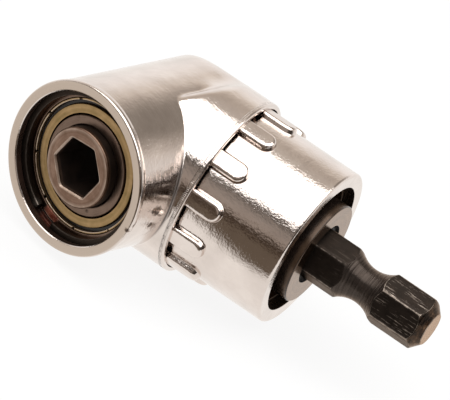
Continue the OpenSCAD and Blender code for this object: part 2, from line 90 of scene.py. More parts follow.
def addGrid(name, points, closeRows=False, capEnds=False, attributes=None):
    # points[row, column] in mm; columns always close on themselves, rows close or end in flat caps;
    # a signed volume below 0 turns all faces over
    rows, cols = points.shape[:2]
    index = np.arange(rows * cols).reshape(rows, cols)
    low = index if closeRows else index[:-1]
    high = np.roll(index, -1, 0) if closeRows else index[1:]
    quads = np.stack([low, np.roll(low, -1, 1), np.roll(high, -1, 1), high], -1).reshape(-1, 4)
    flat = points.reshape(-1, 3) / 1000
    tri = np.concatenate([quads[:, [0, 1, 2]], quads[:, [0, 2, 3]]])
    caps = []
    if capEnds:
        caps = [index[0][::-1].copy(), index[-1].copy()]
        fans = [np.stack([np.full(cols - 2, c[0]), c[1:-1], c[2:]], -1) for c in caps]
        tri = np.concatenate([tri] + fans)
    a, b, c = flat[tri[:, 0]], flat[tri[:, 1]], flat[tri[:, 2]]
    volume = np.einsum("ij,ij->i", a, np.cross(b, c)).sum()
    if volume < 0:
        quads = quads[:, ::-1]
        caps = [cap[::-1] for cap in caps]
    loops = np.concatenate([quads.reshape(-1)] + caps)
    sizes = np.concatenate([np.full(len(quads), 4), [len(cap) for cap in caps]]).astype(int)
    mesh = bpy.data.meshes.new(name)
    mesh.vertices.add(len(flat))
    mesh.vertices.foreach_set("co", flat.reshape(-1))
    mesh.loops.add(len(loops))
    mesh.loops.foreach_set("vertex_index", loops.astype(np.int32))
    mesh.polygons.add(len(sizes))
    mesh.polygons.foreach_set("loop_start", (np.cumsum(sizes) - sizes).astype(np.int32))
    mesh.polygons.foreach_set("use_smooth", sizes == 4)
    mesh.update(calc_edges=True)
    mesh.validate()
    for key, values in (attributes or {}).items():
        full = np.broadcast_to(values if values.ndim == 2 else values[:, None], (rows, cols))
        layer = mesh.attributes.new(key, "FLOAT", "POINT")
        layer.data.foreach_set("value", np.ascontiguousarray(full, np.float32).reshape(-1))
    piece = bpy.data.objects.new(name, mesh)
    scene.collection.objects.link(piece)
    return piece


def settle(piece, body, slot, material, *nodes):
    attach(piece, body)
    if nodes:
        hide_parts(*nodes)
    piece.data.materials.append(material)


def roundedPath(corners, steps=6, support=0.04, closed=True):
    # each corner (x, y, radius) becomes an arc tangent to both sides, which takes at most 0.45 of each side;
    # a support point stands beyond each end of the arc, and a corner of nearly 180 degrees stays a point
    out = []
    n = len(corners)
    for i, (x, y, radius) in enumerate(corners):
        p = np.array([x, y], float)
        if radius <= 0 or (not closed and i in (0, n - 1)):
            out.append(p)
            continue
        before = np.array(corners[i - 1][:2], float) - p
        after = np.array(corners[(i + 1) % n][:2], float) - p
        lenB, lenA = np.linalg.norm(before), np.linalg.norm(after)
        before, after = before / lenB, after / lenA
        half = math.acos(np.clip(before @ after, -1, 1)) / 2
        if half > math.radians(89):
            out.append(p)
            continue
        reach = min(radius / math.tan(half), 0.45 * lenB, 0.45 * lenA)
        radius = reach * math.tan(half)
        centre = p + (before + after) / np.linalg.norm(before + after) * radius / math.sin(half)
        start, end = p + before * reach, p + after * reach
        angleA = math.atan2(*(start - centre)[::-1])
        angleB = math.atan2(*(end - centre)[::-1])
        sweep = (angleB - angleA + math.pi) % fullTurn - math.pi
        turn = angleA + sweep * np.linspace(0, 1, steps + 1)
        out.append(start + before * min(support, 0.3 * (lenB - reach)))
        out.extend(centre + radius * np.stack([np.cos(turn), np.sin(turn)], -1))
        out.append(end + after * min(support, 0.3 * (lenA - reach)))
    return np.array(out)


def lathe(name, place, profile, segments=192, attributes=None):
    # each profile point (radius, station) goes round the axis, and the profile closes on itself
    turn = np.linspace(0, fullTurn, segments, endpoint=False)
    return addGrid(name, swept(place, profile[:, :1], profile[:, 1:], turn), closeRows=True, attributes=attributes)


def hexRadius(turn, acrossFlats, cornerTurn, cornerRound):
    # half the width over the cosine of the angle from the flat's middle, eased at the corners by a smooth minimum
    wrapped = (turn - cornerTurn) % (math.pi / 3) - math.pi / 6
    side = acrossFlats / 2 / np.cos(wrapped)
    cut = acrossFlats / 2 / math.cos(math.pi / 6) - cornerRound
    return smoothMin(side, np.full_like(side, cut), cornerRound * 1.5)


def hexTurns(cornerTurn, perSide=36, crowding=0.75):
    # angles round a hexagon, crowded towards its corners: t less a share of sin(2 pi t) / 2 pi
    t = np.arange(perSide) / perSide
    eased = t - crowding * np.sin(fullTurn * t) / fullTurn
    return (np.arange(6)[:, None] + eased).reshape(-1) * math.pi / 3 + cornerTurn


def addNode(tree, kind, settings=None, links=None, pick=0):
    # one node with its settings and links, which gives back the output that pick names; a key is a socket's name or
    # number, or a property, and stops are a ramp's places and colours. A tuple is a span for the sockets from 1 on:
    # MapRange takes a value from the span's first range to its second. Mix has its colours at 6 and 7.
    node = tree.nodes.new("ShaderNode" + kind)
    settings = dict(enumerate(settings, 1)) if isinstance(settings, tuple) else settings or {}
    for key, value in settings.items():
        if key == "stops":
            elements = node.color_ramp.elements
            while len(elements) < len(value):
                elements.new(0.5)
            for element, (place, code) in zip(elements, value):
                element.position, element.color = place, linearHex(code)
        elif isinstance(key, int) or key in node.inputs:
            node.inputs[key].default_value = value
        else:
            setattr(node, key, value)
    for key, source in (links or {}).items():
        if source is not None:
            tree.links.new(source, node.inputs[key])
    return node.outputs[pick] if len(node.outputs) else None


def newMaterial(name, *masks):
    # an empty material, addNode for it, its Object coordinates and the values of the mesh attributes named in masks
    material = bpy.data.materials.new(name)
    material.use_nodes = True
    material.node_tree.nodes.clear()
    add = partial(addNode, material.node_tree)
    shares = [add("Attribute", {"attribute_name": key}, pick="Fac") for key in masks]
    return material, add, add("TexCoord", pick="Object"), *shares


def layered(add, colour, layers):
    # each layer (mask, pattern, stops) covers the colour below it as far as its mask says; the base has no mask
    for mask, pattern, stops in layers:
        cover = add("ValToRGB", {"stops": stops}, {0: pattern})
        if mask is not None:
            cover = add("Mix", {"data_type": "RGBA"}, {0: mask, 6: colour, 7: cover}, 2)
        colour = cover
    return colour


def alongShaft(add, coord, turnZ):
    # Object coordinates turned so that x runs along a shaft, in metres from the apex, and the distance from the shaft
    turned = {"vector_type": "TEXTURE", "Location": (0, apexY / 1000, 0), "Rotation": (0, 0, turnZ)}
    local = add("Mapping", turned, {"Vector": coord})
    parts = add("SeparateXYZ", {}, {0: local}).node.outputs
    across = add("CombineXYZ", {}, {1: parts[1], 2: parts[2]})
    return local, parts[0], add("VectorMath", {"operation": "LENGTH"}, {0: across}, "Value")


def latheMarks(add, along, radius, ringMm, alongMm, detail, rough):
    # noise over two lengths: the distance from the shaft over ringMm and the place along it over alongMm
    shares = [add("Math", {"operation": "MULTIPLY", 1: 1000 / mm}, {0: value})
              for mm, value in ((ringMm, radius), (alongMm, along))]
    both = add("CombineXYZ", {}, dict(enumerate(shares)))
    return add("TexNoise", {"Scale": 1.0, "Detail": detail, "Roughness": rough}, {"Vector": both})


# stains and chips; a stain of a size in mm starts to fade at size / solid metres and ends at size / end metres
stains = {"wobbleMm": 0.45, "colours": [(0.4, "#2e221c"), (0.62, "#857264")], "most": 0.9, "solid": 1500, "end": 850}


def spotted(add, coord, colour, spots, grain, ragged):
    # balls about places in mm, their edges broken by a noise that shifts the coordinates by up to ragged mm
    s = stains
    shift = ragged / 1000
    wobble = add("TexNoise", {"Scale": 1000 / s["wobbleMm"], "Detail": 2.0}, {"Vector": coord}, "Color")
    warped = add("VectorMath", {"operation": "MULTIPLY_ADD", 1: (shift, shift, shift)}, {0: wobble, 2: coord})
    for place, size in spots:
        middle = tuple(c / 1000 + shift / 2 for c in place)
        away = add("VectorMath", {"operation": "DISTANCE", 1: middle}, {0: warped}, "Value")
        inside = add("MapRange", (size / s["solid"], size / s["end"], s["most"], 0.0), {0: away})
        colour = layered(add, colour, [(inside, grain, s["colours"])])
    return colour


# nickel plate over a zinc casting: a bright warm mirror whose fine orange peel breaks up the edges of reflections,
# polishing marks round the barrel, a duller turned face at the rim and a duller, less metallic unplated bore whose dark
# colour is partly painted shade; the same mask lays painted shade along the elbow's crease.
# Noises are (size in mm, detail, roughness), marks (mm across, mm along, detail, roughness), depths in metres
nickel = {
    "peel": (1.3, 2.0, 0.45), "grain": (0.34, 3.0, 0.62), "patch": (4.0, 3.0, 0.55), "marks": (2.5, 0.2, 3.0, 0.6),
    "peelDeep": 0.00003, "marksDeep": 0.000012, "facedDuller": 0.24, "boreDuller": 0.2, "ragged": 0.7,
    "dullSpan": (0, 1, 0.045, 0.1), "metalSpan": (0, 1, 1.0, 0.45), "boreStops": (0.35, 0.65),
    "plate": [(0.3, "#d5cac3"), (0.55, "#e0d5ce"), (0.75, "#e8ded7")],
    "face": [(0.35, "#b3a294"), (0.6, "#ccbdaf")], "rust": [(0.35, "#3c2018"), (0.65, "#6e3e2e")],
}


def nickelPlate(name, turnZ, grainDeep, streak, boreShadeColours, spots=()):
    n = nickel
    material, add, coord, faced, bore, rust = newMaterial(name, "faced", "bore", "rust")
    peel, grain, patch = (
        add("TexNoise", {"Scale": 1000 / mm, "Detail": detail, "Roughness": rough}, {"Vector": coord})
        for mm, detail, rough in (n["peel"], n["grain"], n["patch"]))
    marks = latheMarks(add, *alongShaft(add, coord, turnZ)[1:], *n["marks"])
    surface = None
    for height, deep in ((peel, n["peelDeep"]), (grain, grainDeep), (marks, n["marksDeep"] * streak)):
        surface = add("Bump", {"Distance": deep}, {"Height": height, "Normal": surface})
    colour = layered(add, None, [(None, patch, n["plate"]), (faced, marks, n["face"])])
    if spots:
        colour = spotted(add, coord, colour, spots, grain, n["ragged"])
    # painted shade: the unplated bore and the elbow's crease take these dark colours
    boreShadeTones = list(zip(n["boreStops"], boreShadeColours))
    colour = layered(add, colour, [(bore, patch, boreShadeTones), (rust, grain, n["rust"])])
    metal = add("MapRange", n["metalSpan"], {0: bore})
    dull = add("MapRange", n["dullSpan"], {0: patch})
    for mask, duller in ((faced, n["facedDuller"]), (bore, n["boreDuller"])):
        dull = add("Math", {"operation": "MULTIPLY_ADD", 1: duller}, {0: mask, 2: dull})
    links = {"Base Color": colour, "Metallic": metal, "Roughness": dull, "Normal": surface}
    add("OutputMaterial", {}, {"Surface": add("BsdfPrincipled", {}, links)})
    return material


# steel cut on a lathe: fine rings about the shaft that catch the light in arcs, under rust, a painted highlight and
# painted shade
turning = {
    "alongShare": 1.3, "detail": 3.0, "rough": 0.65, "blotch": {"Scale": 1000 / 1.6, "Detail": 4.0, "Roughness": 0.6},
    "ringShare": 0.45, "blotchSpan": (0, 1, 0, 0.55), "metalSpan": (0, 1, 1.0, 0.25), "ragged": 0.1,
    "stops": (0.3, 0.5, 0.7), "rust": [(0.35, "#6a3324"), (0.65, "#b4735c")],
    # pale painted highlight colours and near-black painted shade colours
    "worn": [(0.35, "#b9a493"), (0.65, "#ecdccd")], "grime": [(0.35, "#1a1411"), (0.65, "#2b211b")],
}


def turnedSteel(name, colours, dull, turnZ, ringMm, deep, spots=()):
    t = turning
    material, add, coord, rust, worn, grime = newMaterial(name, "rust", "worn", "grime")
    across = alongShaft(add, coord, turnZ)[1:]
    rings = latheMarks(add, *across, ringMm, ringMm * t["alongShare"], t["detail"], t["rough"])
    blotch = add("TexNoise", t["blotch"], {"Vector": coord})
    surface = add("Bump", {"Distance": deep}, {"Height": rings})
    blotches = add("MapRange", t["blotchSpan"], {0: blotch})
    tone = add("Math", {"operation": "MULTIPLY_ADD", 1: t["ringShare"]}, {0: rings, 2: blotches})
    # over the turned tone: rust, then a painted highlight, then painted shade
    colour = layered(add, None, [(None, tone, list(zip(t["stops"], colours))), (rust, blotch, t["rust"]),
                                 (worn, blotch, t["worn"]), (grime, blotch, t["grime"])])
    if spots:
        colour = spotted(add, coord, colour, spots, blotch, t["ragged"])
    rough = add("MapRange", (0, 1, *dull), {0: blotch})
    # rust and painted shade make the steel less metallic
    darkening = add("Math", {"operation": "MAXIMUM"}, {0: rust, 1: grime})
    metal = add("MapRange", t["metalSpan"], {0: darkening})
    links = {"Base Color": colour, "Metallic": metal, "Roughness": rough, "Normal": surface}
    add("OutputMaterial", {}, {"Surface": add("BsdfPrincipled", {}, links)})
    return material


# black oxide on a drawn steel hexagon: oily near-black skin, worn through here and there along its corners,
# scored along the flats that the chuck's jaws grip, with fine turning rings in the groove
oxide = {
    "scratch": {"Scale": 1000 / 0.22, "Detail": 3.0, "Roughness": 0.75}, "stretch": (0.07, 1, 1),
    "patch": {"Scale": 1000 / 1.3, "Detail": 4.0, "Roughness": 0.65}, "rings": (60.0, 0.24, 2.0, 0.6),
    "rub": 1.2, "edgeSpan": (1.28, 1.62, 0, 0.85), "scoreSpan": (0.58, 0.67, 0, 0.75), "gripSpan": (0.38, 0.54, 0.1, 1),
    "skin": [(0.3, "#14110f"), (0.6, "#1f1a17"), (0.8, "#2b231e")], "turnedSpan": (0, 1, 0, 0.3),
    "turned": [(0.4, "#4a423d"), (0.6, "#6a605a")], "cone": [(0.42, "#17120f"), (0.56, "#3d2d21"), (0.66, "#6a5340")],
    "steel": [(0.3, "#7d7066"), (0.7, "#bdb0a4")], "metalSpan": (0, 1, 0.6, 1.0), "dullSpan": (0, 1, 0.34, 0.5),
    "turnedDuller": -0.24, "scratchDeep": 0.00001, "ringDeep": 0.00017, "tint": "#ffe6d2",
}


def blackOxide(name):
    o = oxide
    material, add, coord, worn, turned, gripped, cone = newMaterial(name, "wear", "turned", "gripped", "cone")
    local, along, radius = alongShaft(add, coord, shaftTurn)
    drawn = add("Mapping", {"Scale": o["stretch"]}, {"Vector": local})
    scratches = add("TexNoise", o["scratch"], {"Vector": drawn})
    patches = add("TexNoise", o["patch"], {"Vector": coord})
    rings = latheMarks(add, along, radius, *o["rings"])
    rubbedAndHighlit = add("Math", {"operation": "MULTIPLY_ADD", 1: o["rub"]}, {0: patches, 2: worn})
    spans = (("edge", rubbedAndHighlit), ("score", scratches), ("grip", patches), ("turned", turned), ("dull", patches))
    edge, score, grip, pale, dull = (add("MapRange", o[key + "Span"], {0: source}) for key, source in spans)
    for share in (gripped, grip):
        score = add("Math", {"operation": "MULTIPLY"}, {0: score, 1: share})
    bareAndHighlit = add("Math", {"operation": "MAXIMUM"}, {0: edge, 1: score})
    colour = layered(add, None, [(None, patches, o["skin"]), (pale, rings, o["turned"]), (cone, patches, o["cone"]),
                                 (bareAndHighlit, scratches, o["steel"])])
    metal = add("MapRange", o["metalSpan"], {0: bareAndHighlit})
    dull = add("Math", {"operation": "MULTIPLY_ADD", 1: o["turnedDuller"]}, {0: turned, 2: dull})
    ringed = add("Math", {"operation": "MULTIPLY"}, {0: rings, 1: turned})
    surface = None
    for height, deep in ((scratches, o["scratchDeep"]), (ringed, o["ringDeep"])):
        surface = add("Bump", {"Distance": deep}, {"Height": height, "Normal": surface})
    links = {"Base Color": colour, "Metallic": metal, "Roughness": dull, "Normal": surface}
    shader = add("BsdfPrincipled", {"Specular Tint": linearHex(o["tint"])}, links)
    add("OutputMaterial", {}, {"Surface": shader})
    return material


# phosphated spring steel: sooty black, with a painted highlight along its inner edge that is brightest at one end
spring = {
    "soot": {"Scale": 1000 / 0.5, "Detail": 4.0, "Roughness": 0.6}, "relief": {"Distance": 0.00001, "Strength": 0.6},
    "black": [(0.3, "#0d0b0a"), (0.6, "#15120f"), (0.8, "#211b17")], "bareAndHighlit": [(0.3, "#a89a8e"), (0.7, "#efe6dc")],
    "dullSpan": (0, 1, 0.3, 0.5), "metal": 0.6, "tint": "#ffd2b4",
}


def phosphatedSpring(name):
    s = spring
    material, add, coord, worn = newMaterial(name, "worn")
    soot = add("TexNoise", s["soot"], {"Vector": coord})
    # painted highlight over the sooty black
    colour = layered(add, None, [(None, soot, s["black"]), (worn, soot, s["bareAndHighlit"])])
    dull = add("MapRange", s["dullSpan"], {0: soot})
    surface = add("Bump", s["relief"], {"Height": soot})
    links = {"Base Color": colour, "Roughness": dull, "Normal": surface}
    shader = add("BsdfPrincipled", {"Metallic": s["metal"], "Specular Tint": linearHex(s["tint"])}, links)
    add("OutputMaterial", {}, {"Surface": shader})
    return material


materials = {
    # bore colours: unplated metal darkened with painted shade, darker still in the sleeve's bore
    "plateHead": nickelPlate("nickelPlatedZincHead", headAlong, 0.000016, 1.0, ("#2a1f1a", "#403029"), [
        ((10.66, 3.62, 0.92), 0.75), ((10.66, 3.1, 1.1), 0.5), ((10.63, 3.6, -1.26), 0.4), ((10.69, 0.05, -0.5), 0.34),
        ((10.62, -0.6, -1.27), 0.36)]),
    "plateSleeve": nickelPlate("nickelPlatedZincSleeve", shaftTurn, 0.000026, 0.4, ("#1f1814", "#30261f")),
    "blackOxide": blackOxide("blackOxideShank"),
    "springBlack": phosphatedSpring("phosphatedSpringSteel"),
    # yellow passivated zinc on pressed sheet: a soft, slightly dull gold
    "zincYellow": turnedSteel(
        "yellowZincSheet", ("#76643f", "#987d57", "#b3956c"), (0.26, 0.4), headAlong, 0.16, 0.00001),
    # ground bearing steel: dim and warm, with one chip on the inner ring, and a darker copy with painted shade for the
    # parts inside the sleeve
    "ringSteel": turnedSteel(
        "groundBearingSteel", ("#5a4a3f", "#725f53", "#816d5f"), (0.22, 0.36), headAlong, 0.12, 0.000005,
        [((2.96, 1.55, -4.68), 0.24)]),
    "ringSteelInShade": turnedSteel(
        "groundBearingSteelInShade", ("#3a302a", "#4c4038", "#5c4e45"), (0.22, 0.36), shaftTurn, 0.12, 0.000005),
    # heat browned spindle and clean turned collar: broad rings, the collar smoother and shinier
    "spindleBrown": turnedSteel(
        "brownedSpindleSteel", ("#5e4838", "#7a6152", "#987e6d"), (0.32, 0.48), headAlong, 0.3, 0.000008),
    "collarGrey": turnedSteel(
        "turnedCollarSteel", ("#6e5641", "#876c55", "#9b7e66"), (0.17, 0.27), shaftTurn, 0.3, 0.000006),
    # hardened gears, grey and even, and bright pressed cages
    "gearSteel": turnedSteel(
        "hardenedGearSteel", ("#4c4640", "#625b54", "#787068"), (0.25, 0.45), headAlong, 0.5, 0.000006),
    "cageSteel": turnedSteel(
        "pressedCageSteel", ("#8d857a", "#a39b90", "#b3aba0"), (0.25, 0.4), headAlong, 0.6, 0.000004),
}
print("materials ready", len(materials))

# cast elbow: one skin from the mouth over the bend to the lip, and back inside; the bend is 90 degrees less shaftTurn
elbow = {
    "headR": 10.7, "rimR": 10.85, "headLen": 16.356, "rimLen": 0.6, "rimTaper": 0.4, "castFrom": 12.6,
    "barrelR": 12.12, "seam": 9.0, "shoulderStart": 2.05, "shoulderHalf": 10.6,
    "creaseFillet": 0.15, "shoulderFillet": 1.6, "barrelEase": 0.8, "turnoverLen": 3,
    "pivot": (11.63, 6.15), "bend": 75, "bendRows": 150, "bendReach": 12.28, "bendBow": 2.5,
    "straightFrom": 12.4, "straightRows": 22, "lastFrom": 8.3, "around": 320,
    "rayFrom": 3.0, "rayTo": 26.0, "halvings": 34, "inside": 1.75, "backR": 9.2, "backStation": 8.2,
    "mouthR": 9.51, "mouthEase": 0.14, "grooveR": 10.0, "seatStation": 9.3, "grooveFrom": 14.206, "grooveTo": 15.266,
    "lipR": 11.51, "lipFrom": 7.4, "seatR": 10.71, "seatFrom": 6.3,
}
# painted shade along the crease: how dark at most, its shift and width, and where it fades out
crease = {"most": 0.95, "shift": 0.2, "wide": 0.24, "frontFrom": 0.5, "frontOver": 2, "lowFrom": -5, "lowOver": 4,
          "highTo": 7.5, "highOver": 1.5}
bareGap = {"turn": -99.8, "half": 0.15, "over": 0.03}


def elbowForms(points):
    # distances to the head barrel, to the elbow barrel about the drive axis and to its slanted shoulder
    e = elbow
    head = np.hypot(points[..., 0], points[..., 2]) - e["headR"]
    barrel = np.hypot((points - apex) @ frontDir, points[..., 2]) - e["barrelR"]
    shoulder = (np.abs(points[..., 2]) - e["shoulderHalf"] - (points[..., 0] - e["shoulderStart"])) / math.sqrt(2)
    return head, barrel, shoulder


def paintedCreaseShade(points):
    # painted shade along the crease between head barrel and elbow: exp of minus the square of (head less elbow distance
    # plus shift) / wide
    c = crease
    head, barrel, shoulder = elbowForms(points)
    x, y, z = points[..., 0], points[..., 1], points[..., 2]
    reach = fade(apexY - y, c["frontFrom"], c["frontOver"]) * fade(z, c["lowFrom"], c["lowOver"])
    reach = c["most"] * reach * fade(z, c["highTo"], -c["highOver"]) * (x > 0)
    return reach * np.exp(-((head - np.maximum(barrel, shoulder) + c["shift"]) / c["wide"]) ** 2)


def elbowDistance(points):
    # the forms joined by smooth minima and maxima, one way ahead of the drive axis and another behind it,
    # and turned over from one to the other by 3 t squared less 2 t cubed
    e = elbow
    head, barrel, shoulder = elbowForms(points)
    ahead = smoothMin(head, smoothMax(barrel, shoulder, e["barrelEase"]), e["creaseFillet"])
    behind = smoothMax(barrel, smoothMin(head, shoulder, e["shoulderFillet"]), e["barrelEase"])
    t = fade(apexY - points[..., 1], -e["turnoverLen"] / 2, e["turnoverLen"])
    t = t * t * (3 - 2 * t)
    return ahead * t + behind * (1 - t)


def castRows(origin, sideways, turn, offset):
    # on each ray from the section's middle, the place where the elbow's distance is -offset, found by halving
    ray = np.cos(turn)[:, None] * sideways[:, None, :] + np.sin(turn)[:, None] * upDir
    low = np.full(ray.shape[:2], elbow["rayFrom"])
    high = np.full(ray.shape[:2], elbow["rayTo"])
    for _ in range(elbow["halvings"]):
        middle = (low + high) / 2
        outside = elbowDistance(origin[:, None, :] + middle[..., None] * ray) > -offset
        high = np.where(outside, middle, high)
        low = np.where(outside, low, middle)
    return origin[:, None, :] + ((low + high) / 2)[..., None] * ray


def nearGap(turn):
    # 1 where the head circlip's gap lays the metal bare, and falling to 0 before the half width in radians
    away = np.abs((turn - math.radians(bareGap["turn"]) + math.pi) % fullTurn - math.pi)
    return fade(away, bareGap["half"], -bareGap["over"])


def buildElbow():
    # rings of the mouth, sections cast over the bend about a pivot, rings of the lip, and a few sections back inside
    e = elbow
    turn = np.linspace(0, fullTurn, e["around"], endpoint=False)
    length, mouthR, grooveR, seam = e["headLen"], e["mouthR"], e["grooveR"], e["seam"]
    mouth = roundedPath([
        (mouthR, e["seatStation"], 0), (mouthR, e["grooveFrom"], 0.04), (grooveR, e["grooveFrom"], 0.06),
        (grooveR, e["grooveTo"], 0.06), (mouthR, e["grooveTo"], 0.08), (mouthR, length - e["mouthEase"], 0.06),
        (mouthR + e["mouthEase"], length, 0.06), (e["rimR"], length, 0.3), (e["rimR"], length - e["rimLen"], 0.4),
        (e["headR"], length - e["rimLen"] - e["rimTaper"], 0.7), (e["headR"], e["castFrom"], 0)], closed=False)
    radius, station = mouth[:, 0], mouth[:, 1]
    behind = (station < e["grooveTo"] + 0.1) * (radius < grooveR + 0.05)
    boreRows = np.maximum(fade(radius, mouthR + 0.03, -0.03), behind)
    inGroove = (radius > mouthR + 0.03) * (radius < grooveR + 0.02) * (
        station < e["grooveTo"] + 0.05) * (station > e["grooveFrom"] - 0.05)
    facedRows = fade(station, length - 0.05, 0.04) * (1 - boreRows)
    pivot = np.array([*e["pivot"], 0.0])
    straight = np.linspace(e["straightFrom"], apexY - pivot[1], e["straightRows"])
    share = np.linspace(0, 1, e["bendRows"])[1:-1]
    angle = math.radians(e["bend"]) * share
    bendSide = np.stack([np.cos(angle), -np.sin(angle), np.zeros_like(angle)], -1)
    reach = (1 - share) * pivot[0] + share * e["bendReach"] + e["bendBow"] * np.sin(math.pi * share)
    last = np.linspace(e["lastFrom"], seam - 0.52, 3)
    origins = np.concatenate([
        np.stack([np.zeros_like(straight), apexY - straight, np.zeros_like(straight)], -1),
        pivot - bendSide * reach[:, None], apex + last[:, None] * driveDir])
    sides = np.concatenate([np.tile([1.0, 0, 0], (len(straight), 1)), bendSide, np.tile(frontDir, (len(last), 1))])
    skin = castRows(origins, sides, turn, 0.0)
    lip = roundedPath([
        (e["barrelR"], seam - 1.2, 0), (e["barrelR"], seam, 0.34), (e["lipR"], seam, 0.06),
        (e["lipR"], e["lipFrom"], 0.05), (e["seatR"], e["lipFrom"], 0.05), (e["seatR"], e["seatFrom"], 0)],
        closed=False)[1:]
    inner = np.r_[np.arange(0, len(origins), 9), len(origins) - 1][::-1]
    inner = inner[(inner > 21) & (inner < len(origins) - 14)]  # every ninth section, clear of mouth and lip
    back = np.array([[e["backR"], e["backStation"]], [mouthR, 9.0]])
    grid = np.concatenate([
        swept(onHead, mouth[:, :1], mouth[:, 1:], turn), skin, swept(onDrive, lip[:, :1], lip[:, 1:], -turn),
        castRows(origins[inner], sides[inner], turn, e["inside"]), swept(onHead, back[:, :1], back[:, 1:], turn)])
    rest = np.zeros((len(grid) - len(mouth), len(turn)))
    # painted shade: the bore mask takes the mouth's bore rows and the painted shade along the crease
    piece = addGrid("castElbow", grid, closeRows=True, attributes={
        "bore": np.concatenate([boreRows[:, None] + rest[:1], paintedCreaseShade(skin), rest[len(skin):]]),
        "faced": np.concatenate([facedRows, rest[:, 0]]),
        "rust": np.concatenate([inGroove[:, None] * nearGap(turn), rest])})
    settle(piece, "housing", "nickel_plate", materials["plateHead"], "head_housing")


buildElbow()
print("elbow ready")

# sleeve and its raised pads
sleeve = {
    "r": 10.7, "start": 6.05, "end": 22.5, "edge": 0.38, "boreR": 9.01, "landR": 8.1, "landFrom": 12.2, "landTo": 16.0,
    "mouthR": 8.86, "grooveR": 9.5, "grooveFrom": 20.0, "grooveTo": 21.06,
    "padCount": 12, "padWide": 2.75, "padHigh": 0.8, "padFrom": 7.45, "padTip": 13.55, "padTurn": 15.0,
    "padTopEase": 0.72, "padFootEase": 0.14, "padLean": 0.22, "padRoot": -0.5,
}


def buildSleeve():
    s = sleeve
    profile = roundedPath([
        (s["boreR"], s["start"], 0.05), (s["r"], s["start"], 0.1), (s["r"], s["end"], s["edge"]),
        (s["mouthR"], s["end"], 0.07), (s["mouthR"], s["grooveTo"], 0.04), (s["grooveR"], s["grooveTo"], 0.04),
        (s["grooveR"], s["grooveFrom"], 0.04), (s["boreR"], s["grooveFrom"], 0.04), (s["boreR"], s["landTo"], 0.04),
        (s["landR"], s["landTo"], 0.04), (s["landR"], s["landFrom"], 0.04), (s["boreR"], s["landFrom"], 0.04)])
    # painted shade in the colour of the unplated bore, as far as the end face
    boreRows = fade(profile[:, 0], s["boreR"] + 0.12, -0.08) * fade(profile[:, 1], s["end"] - 0.03, -0.03)
    piece = lathe("sleeveBarrel", onDrive, profile, 256, {"bore": boreRows})
    settle(piece, "housing", "nickel_plate", materials["plateSleeve"], "drive_sleeve")


def buildPads():
    # a rounded ramp (outset, height) carried round a stadium that is wrapped on the barrel
    s = sleeve
    half, high = s["padWide"] / 2, s["padHigh"]
    slope = roundedPath([(0.3, -0.1, 0), (0.02, 0.0, s["padFootEase"]), (-s["padLean"], high, s["padTopEase"]),
                         (-half + 0.3, high, 0)], steps=10, closed=False)
    slope = np.concatenate([slope, [[-half + 0.12, high], [-half + 0.02, high]]])
    straight = s["padTip"] - s["padFrom"] - s["padWide"]
    bow = np.linspace(-math.pi / 2, math.pi / 2, 28)
    side = np.linspace(0, 1, 18)[1:-1]
    level = np.ones_like(side)
    across = np.concatenate([half * np.sin(bow), half * level, -half * np.sin(bow), -half * level])
    along = np.concatenate([straight + half * np.cos(bow), straight * (1 - side), -half * np.cos(bow), straight * side])
    outX = np.concatenate([np.sin(bow), level, -np.sin(bow), -level])
    outY = np.concatenate([np.cos(bow), 0 * level, -np.cos(bow), 0 * level])
    u = across + slope[:, :1] * outX
    w = along + slope[:, :1] * outY + s["padFrom"] + half
    height = np.repeat(slope[:, 1:], len(across), 1)
    # the root lies in the barrel, drawn in by a twenty-fifth
    u, w = np.concatenate([0.96 * u[:1], u]), np.concatenate([0.96 * w[:1] + 0.04 * w[0].mean(), w])
    height = np.concatenate([np.full((1, len(across)), s["padRoot"]), height])
    for k in range(s["padCount"]):
        turn = math.radians(s["padTurn"] + 360 * k / s["padCount"]) + u / s["r"]
        pad = addGrid(f"sleevePad{k:02d}", swept(onDrive, s["r"] + height, w, turn), capEnds=True)
        settle(pad, "housing", "nickel_plate", materials["plateSleeve"])


buildSleeve()
buildPads()
print("sleeve ready")

# circlips: a rounded bar carried along an open arc; gap is its middle and half its half width, in degrees
circlips = {
    "head": {"place": onHead, "outer": 9.97, "wide": 1.2, "from": 14.236, "thick": 1.0, "gap": -101.4, "half": 9.6,
             "node": "output_circlip"},
    "sleeve": {"place": onDrive, "outer": 9.47, "wide": 1.1, "from": 20.03, "thick": 1.0, "gap": 40.0, "half": 12.0,
               "node": "drive_circlip"},
}


def buildCirclip(name, c):
    outer, inner, back, front = c["outer"], c["outer"] - c["wide"], c["from"], c["from"] + c["thick"]
    bar = roundedPath([(outer, back, 0.08), (outer, front, 0.12), (inner, front, 0.12), (inner, back, 0.08)], steps=4)
    turn = np.radians(np.linspace(c["gap"] + c["half"], c["gap"] + 360 - c["half"], 160))[:, None]
    # painted highlight along the inner front edge, most of all at one end: two bell curves of the distances
    fromEdge = np.hypot(bar[:, 0] - outer + c["wide"], bar[:, 1] - back - c["thick"])
    fromEnd = (turn[-1] - turn) * outer
    worn = np.exp(-(fromEdge / 0.12) ** 2) * (0.06 + 0.94 * np.exp(-(fromEnd / 0.8) ** 2))
    points = swept(c["place"], bar[:, 0], bar[:, 1], turn)
    piece = addGrid(name + "Circlip", points, capEnds=True, attributes={"worn": worn})
    settle(piece, "housing", "black_spring_steel", materials["springBlack"], c["node"])


for name, c in circlips.items():
    buildCirclip(name, c)
print("circlips ready")

